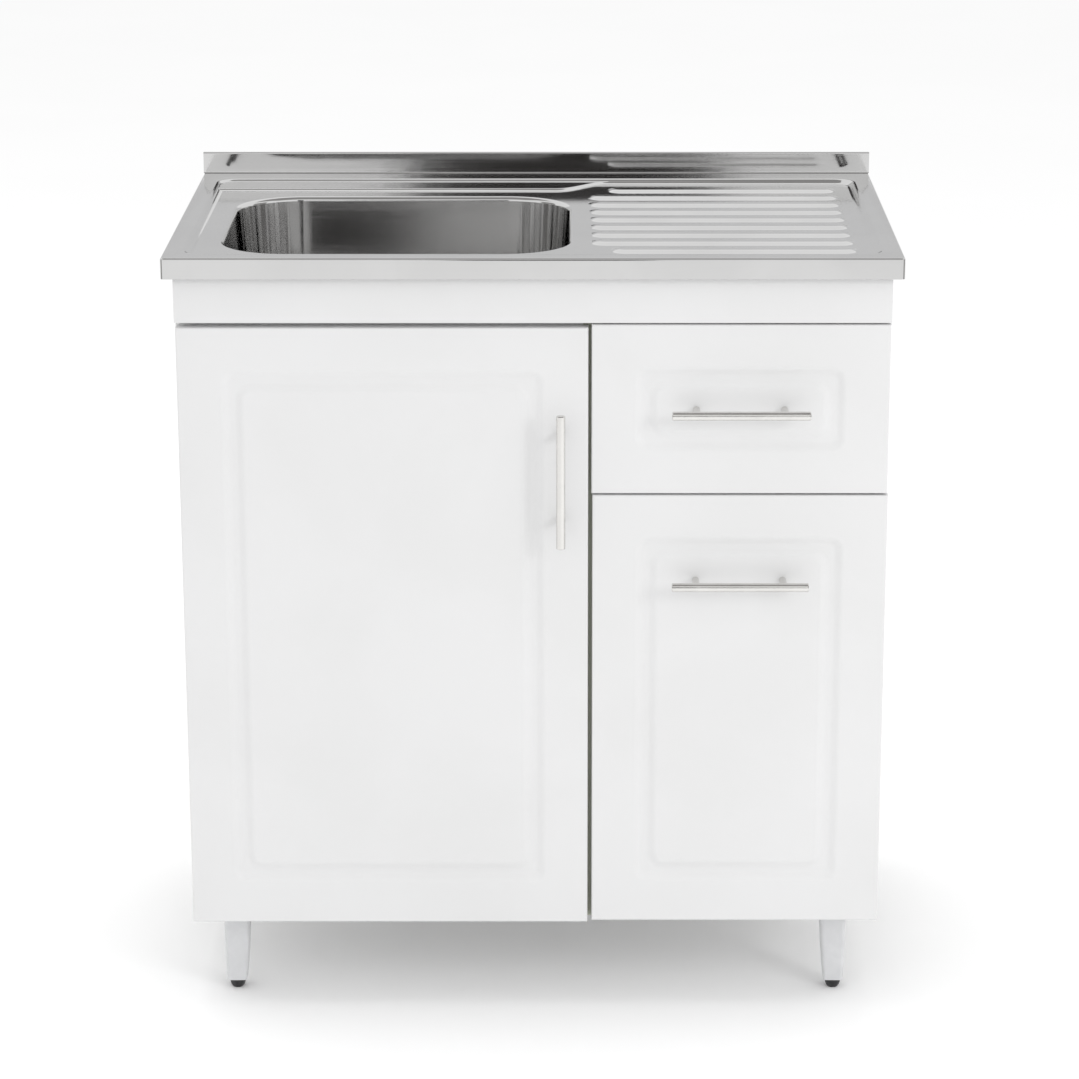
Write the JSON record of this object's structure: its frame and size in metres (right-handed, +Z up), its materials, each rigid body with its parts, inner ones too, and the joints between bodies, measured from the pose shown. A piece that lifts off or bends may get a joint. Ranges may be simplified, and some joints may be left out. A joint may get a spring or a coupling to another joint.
{
  "type": "kitchen sink unit",
  "caption": "White kitchen base unit with a sit-on steel sink top, bowl and ribbed drainer, a hinged door, drawers with bar handles and short legs.",
  "frame": {"origin": "on the floor under the middle of the whole unit's outline", "axes": "+X to the right as seen from the front, -Y to the front, +Z up"},
  "size_m": [0.8, 0.521, 0.9],
  "materials": {
    "polished_steel": "pressed stainless sheet, satin deck and mirror-bright bowl",
    "strainer_steel": "polished stainless",
    "white_foil": "fibreboard with satin white foil",
    "white_board": "white melamine-faced chipboard",
    "hardboard": "thin hardboard, white face",
    "brushed_bar": "brushed stainless bar",
    "zinc_steel": "bright zinc plate",
    "runner_steel": "white epoxy coat",
    "nylon": "natural nylon",
    "leg_plastic": "light grey moulded plastic",
    "foot_rubber": "black domed foot on a steel stud",
    "gasket_rubber": "black rubber",
    "nut_plastic": "white moulded plastic",
    "pad_plastic": "soft clear pad"
  },
  "bodies": {
    "cabinet": {"sink_top": "polished_steel", "strainer_body": "strainer_steel", "strainer_gasket": "gasket_rubber", "strainer_nut": "nut_plastic", "left_side_panel": "white_board", "right_side_panel": "white_board", "bottom_panel": "white_board", "centre_partition": "white_board", "front_rail": "white_board", "back_rail": "white_board", "fascia": "white_foil", "back_panel": "hardboard", "sink_clips": "zinc_steel", "bumpers": "pad_plastic", "carcass_screws": "zinc_steel", "clip_screws": "zinc_steel", "leg_screws": "zinc_steel", "hinge_plates": "zinc_steel", "hinge_plate_screws": "zinc_steel", "upper_hinge_arm": "zinc_steel", "lower_hinge_arm": "zinc_steel", "front_left_leg": "leg_plastic", "front_right_leg": "leg_plastic", "rear_left_leg": "leg_plastic", "rear_right_leg": "leg_plastic", "upper_cabinet_runners": "runner_steel", "lower_cabinet_runners": "runner_steel"},
    "door": {"door_panel": "white_foil", "door_handle": "brushed_bar", "door_handle_screws": "zinc_steel", "hinge_pins": "zinc_steel", "hinge_cup_screws": "zinc_steel", "upper_hinge_cup": "zinc_steel", "lower_hinge_cup": "zinc_steel"},
    "upper_drawer": {"upper_drawer_front": "white_foil", "upper_drawer_handle": "brushed_bar", "upper_drawer_handle_screws": "zinc_steel", "upper_drawer_left_side": "white_board", "upper_drawer_right_side": "white_board", "upper_drawer_back": "white_board", "upper_drawer_base": "hardboard", "upper_drawer_runners": "runner_steel"},
    "upper_front_rollers": {"upper_front_rollers": "nylon"},
    "upper_rear_rollers": {"upper_rear_rollers": "nylon"},
    "lower_drawer": {"lower_drawer_front": "white_foil", "lower_drawer_handle": "brushed_bar", "lower_drawer_handle_screws": "zinc_steel", "lower_drawer_left_side": "white_board", "lower_drawer_right_side": "white_board", "lower_drawer_back": "white_board", "lower_drawer_base": "hardboard", "lower_drawer_runners": "runner_steel"},
    "lower_front_rollers": {"lower_front_rollers": "nylon"},
    "lower_rear_rollers": {"lower_rear_rollers": "nylon"},
    "strainer_basket": {"strainer_basket": "strainer_steel", "basket_knob": "strainer_steel"},
    "front_left_foot": {"front_left_foot": "foot_rubber"},
    "front_right_foot": {"front_right_foot": "foot_rubber"},
    "rear_left_foot": {"rear_left_foot": "foot_rubber"},
    "rear_right_foot": {"rear_right_foot": "foot_rubber"}
  },
  "joints": [
    {"name": "door_hinge", "type": "hinge", "parent": "cabinet", "child": "door", "pos_m": [-0.379, -0.22, 0.4505], "axis": [0, 0, -1], "range_deg": [0, 100]},
    {"name": "upper_drawer_slide", "type": "slide", "parent": "cabinet", "child": "upper_drawer", "axis": [0, -1, 0], "range_m": [0, 0.3]},
    {"name": "upper_front_roller_spin", "type": "hinge", "parent": "cabinet", "child": "upper_front_rollers", "pos_m": [0.22125, -0.197, 0.6317], "axis": [1, 0, 0], "range_deg": [0, 1912]},
    {"name": "upper_rear_roller_spin", "type": "hinge", "parent": "upper_drawer", "child": "upper_rear_rollers", "pos_m": [0.22125, 0.1765, 0.6291], "axis": [1, 0, 0], "range_deg": [0, 1912]},
    {"name": "lower_drawer_slide", "type": "slide", "parent": "cabinet", "child": "lower_drawer", "axis": [0, -1, 0], "range_m": [0, 0.3]},
    {"name": "lower_front_roller_spin", "type": "hinge", "parent": "cabinet", "child": "lower_front_rollers", "pos_m": [0.22125, -0.197, 0.1417], "axis": [1, 0, 0], "range_deg": [0, 1912]},
    {"name": "lower_rear_roller_spin", "type": "hinge", "parent": "lower_drawer", "child": "lower_rear_rollers", "pos_m": [0.22125, 0.1765, 0.1391], "axis": [1, 0, 0], "range_deg": [0, 1912]},
    {"name": "front_left_foot_adjust", "type": "slide", "parent": "cabinet", "child": "front_left_foot", "axis": [0, 0, -1], "range_m": [0, 0.012]},
    {"name": "front_right_foot_adjust", "type": "slide", "parent": "cabinet", "child": "front_right_foot", "axis": [0, 0, -1], "range_m": [0, 0.012]},
    {"name": "rear_left_foot_adjust", "type": "slide", "parent": "cabinet", "child": "rear_left_foot", "axis": [0, 0, -1], "range_m": [0, 0.012]},
    {"name": "rear_right_foot_adjust", "type": "slide", "parent": "cabinet", "child": "rear_right_foot", "axis": [0, 0, -1], "range_m": [0, 0.012]},
    {"name": "basket_lift", "type": "slide", "parent": "cabinet", "child": "strainer_basket", "axis": [0, 0, 1], "range_m": [0, 0.06]}
  ],
  "couplings": [
    {"joint": "upper_front_roller_spin", "follows": "upper_drawer_slide", "rad_per_m": 111.11},
    {"joint": "upper_rear_roller_spin", "follows": "upper_drawer_slide", "rad_per_m": 111.11},
    {"joint": "lower_front_roller_spin", "follows": "lower_drawer_slide", "rad_per_m": 111.11},
    {"joint": "lower_rear_roller_spin", "follows": "lower_drawer_slide", "rad_per_m": 111.11}
  ]
}
